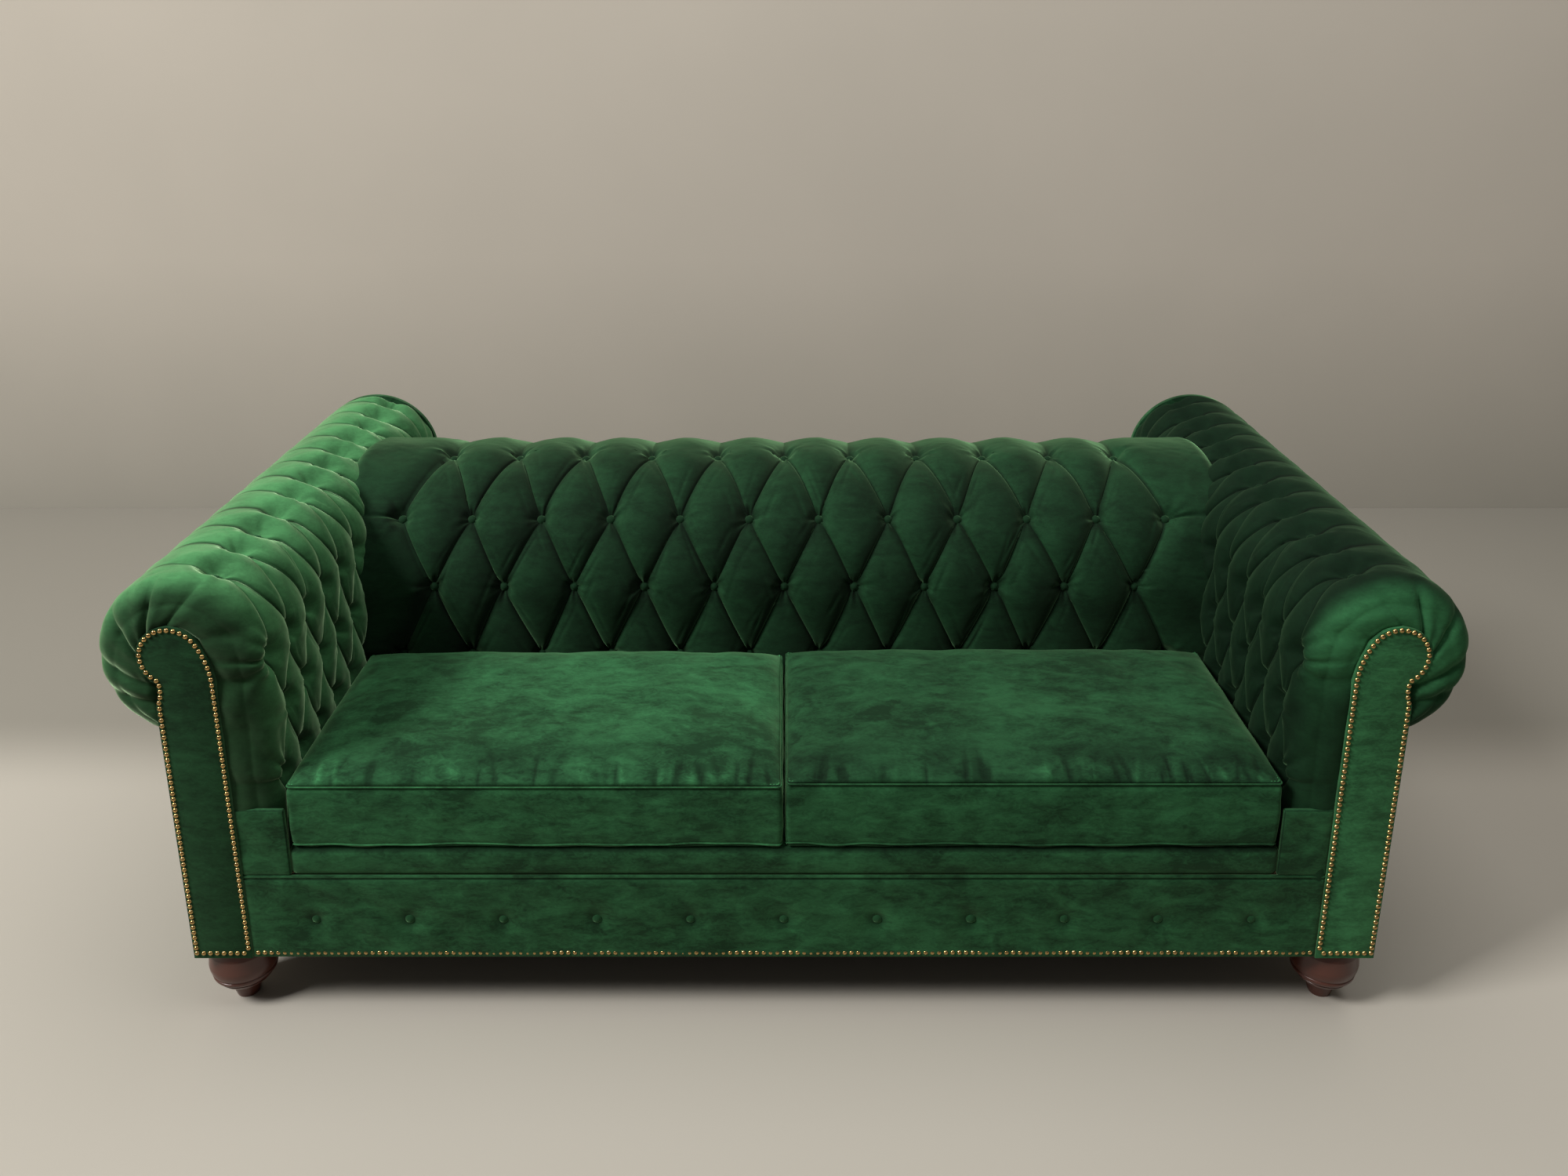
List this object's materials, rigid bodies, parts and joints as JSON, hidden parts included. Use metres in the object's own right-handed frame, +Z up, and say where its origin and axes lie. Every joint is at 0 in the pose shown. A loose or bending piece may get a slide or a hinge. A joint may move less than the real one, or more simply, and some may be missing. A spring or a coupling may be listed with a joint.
{
  "type": "chesterfield sofa",
  "caption": "Deep-buttoned sofa in green velvet with rolled arms, loose seat cushions, nail-trimmed scroll fronts and turned bun feet.",
  "frame": {"origin": "on the floor, under the middle of the sofa's overall box", "axes": "+X to the right seen from the front, along the seat; +Y from the front to the rear; +Z up"},
  "size_m": [2.22, 1.09, 0.815],
  "materials": {
    "velvet": "matte",
    "deck_cloth": "matte",
    "foam": "matte",
    "webbing": "matte",
    "dust_cloth": "matte",
    "frame_wood": "matte",
    "stained_wood": "satin",
    "steel": "satin",
    "antique_brass": "satin"
  },
  "bodies": {
    "root": {"arm_buttons_left": "velvet", "arm_buttons_right": "velvet", "arm_front_boards": "frame_wood", "arm_pad_left": "velvet", "arm_pad_right": "velvet", "arm_rear_boards": "frame_wood", "arm_rear_cap_left": "velvet", "arm_rear_cap_right": "velvet", "arm_tack_rails": "frame_wood", "arm_top_rails": "frame_wood", "arm_webbing": "webbing", "back_buttons": "velvet", "back_pad": "velvet", "back_rear_rail": "frame_wood", "back_ribs": "frame_wood", "back_tack_rail": "frame_wood", "back_top_board": "frame_wood", "back_webbing": "webbing", "base_nails": "antique_brass", "deck_lip": "velvet", "dust_cover": "dust_cloth", "foot_bolts": "steel", "foot_front_left": "stained_wood", "foot_front_right": "stained_wood", "foot_rear_left": "stained_wood", "foot_rear_right": "stained_wood", "foot_tee_nuts": "steel", "frame_corner_blocks": "frame_wood", "frame_front_rail": "frame_wood", "frame_rear_rail": "frame_wood", "frame_screws": "steel", "frame_seat_rail": "frame_wood", "frame_side_rails": "frame_wood", "frame_stretchers": "frame_wood", "front_band_left": "velvet", "front_band_right": "velvet", "front_rail_buttons": "velvet", "front_rail_pad": "velvet", "front_welt": "velvet", "outer_arm_panel_left": "velvet", "outer_arm_panel_right": "velvet", "outer_back_panel": "velvet", "scroll_nails_left": "antique_brass", "scroll_nails_right": "antique_brass", "scroll_panel_left": "velvet", "scroll_panel_right": "velvet", "seat_deck_pad": "deck_cloth", "seat_springs": "steel", "spring_clips": "steel"},
    "cushion_left": {"cushion_cover_left": "velvet", "cushion_core_left": "foam"},
    "cushion_right": {"cushion_cover_right": "velvet", "cushion_core_right": "foam"}
  },
  "joints": [
    {"name": "cushion_left_lift", "type": "slide", "parent": "root", "child": "cushion_left", "axis": [0, 0, 1], "range_m": [0, 0.35]},
    {"name": "cushion_right_lift", "type": "slide", "parent": "root", "child": "cushion_right", "axis": [0, 0, 1], "range_m": [0, 0.35]}
  ]
}
